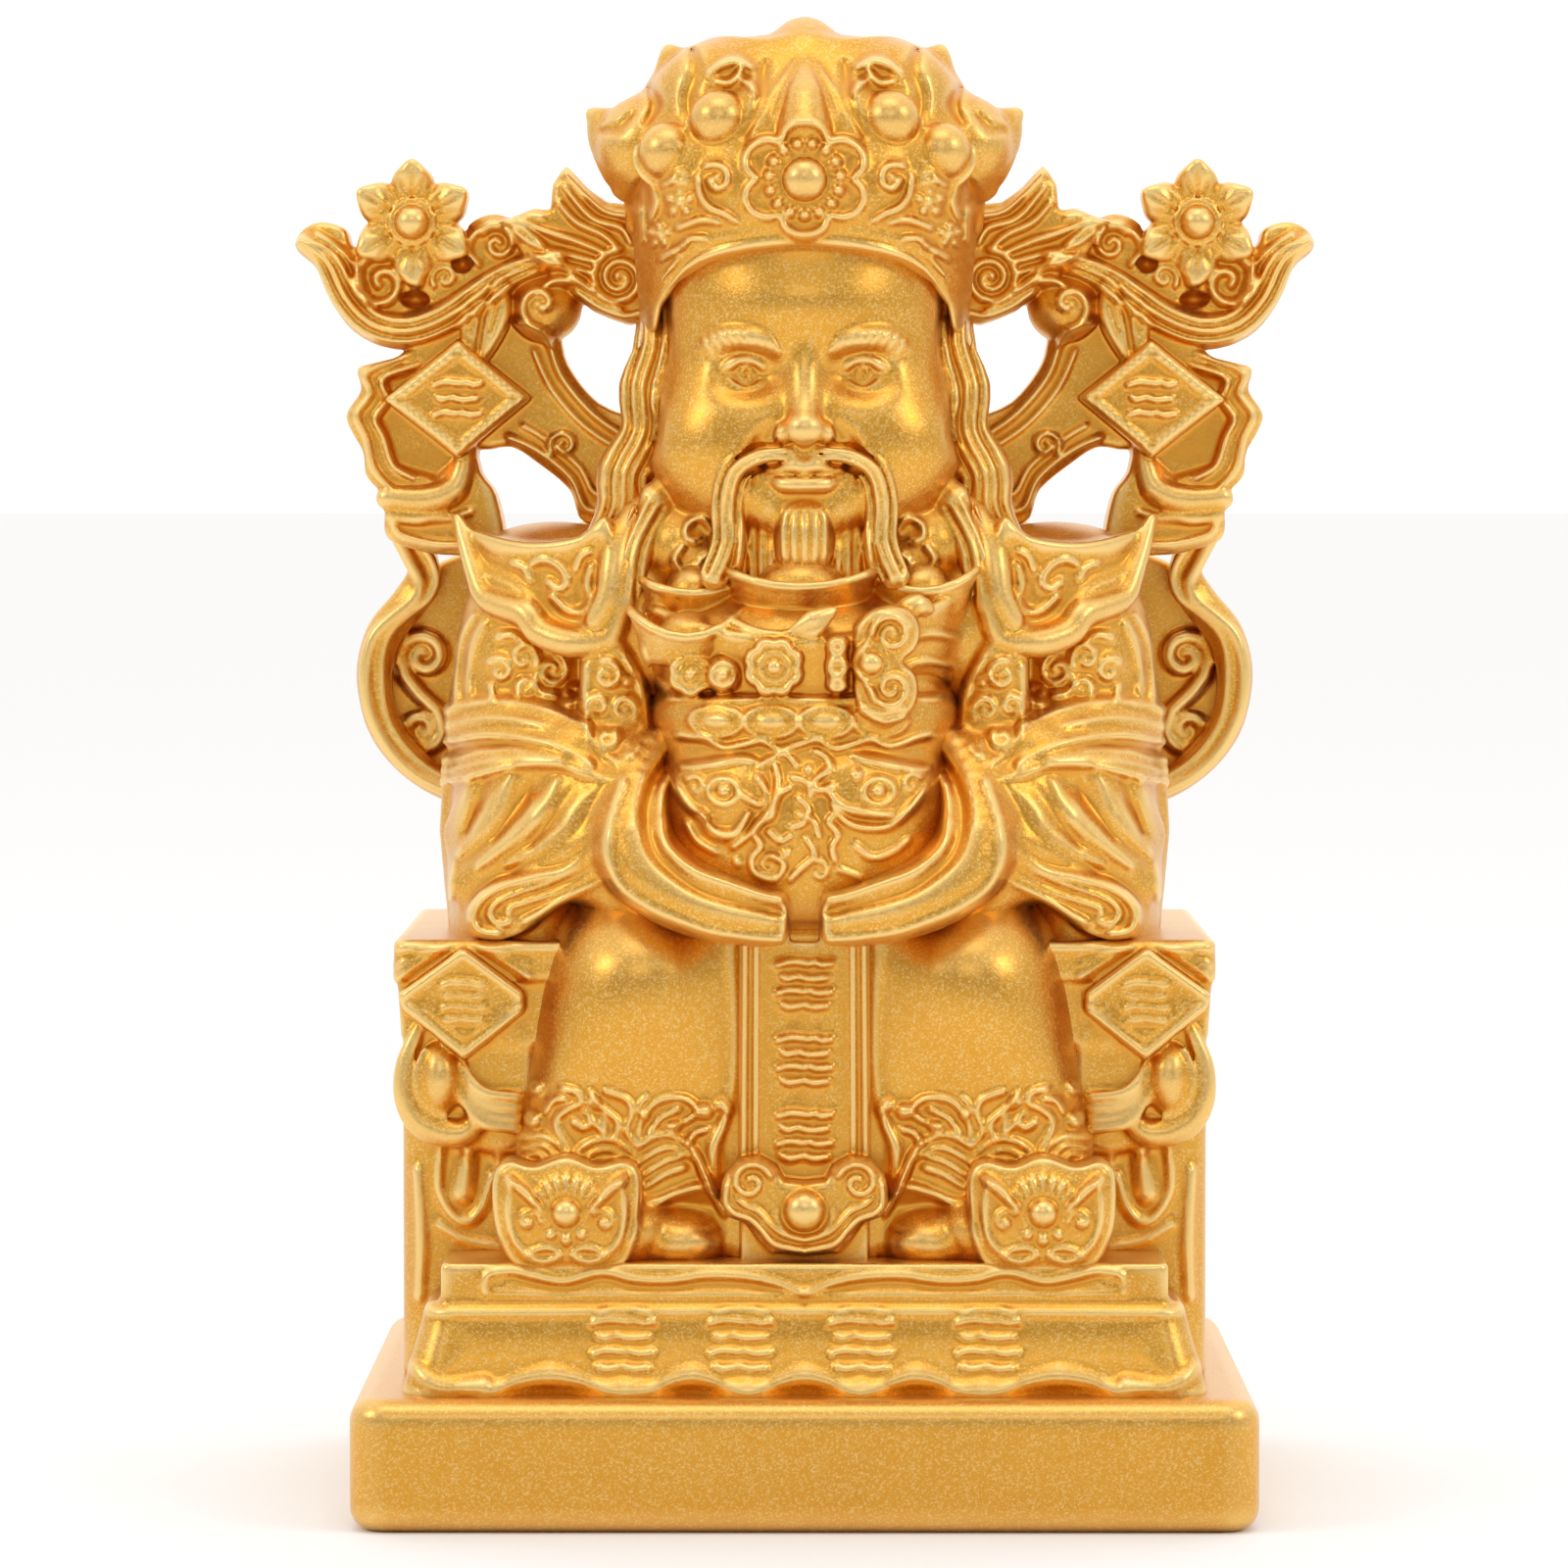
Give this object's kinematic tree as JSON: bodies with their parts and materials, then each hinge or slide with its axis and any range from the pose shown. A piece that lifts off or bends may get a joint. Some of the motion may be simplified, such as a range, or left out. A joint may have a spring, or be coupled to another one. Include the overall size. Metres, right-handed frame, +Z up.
{
  "type": "caishen figure",
  "caption": "Seated wealth god in robe and crown holding a bowl of ingots, on a throne, step and plinth, cast in one piece in gold-painted resin",
  "frame": {"origin": "middle of the plinth's underside, on the surface that the figure stands on", "axes": "+Z up, +X to the viewer's right, +Y to the figure's back; the figure faces -Y"},
  "size_m": [0.104, 0.07, 0.1495],
  "materials": {
    "gold_paint": "satin"
  },
  "bodies": {
    "root": {"caishen_figure": "gold_paint"}
  },
  "joints": []
}
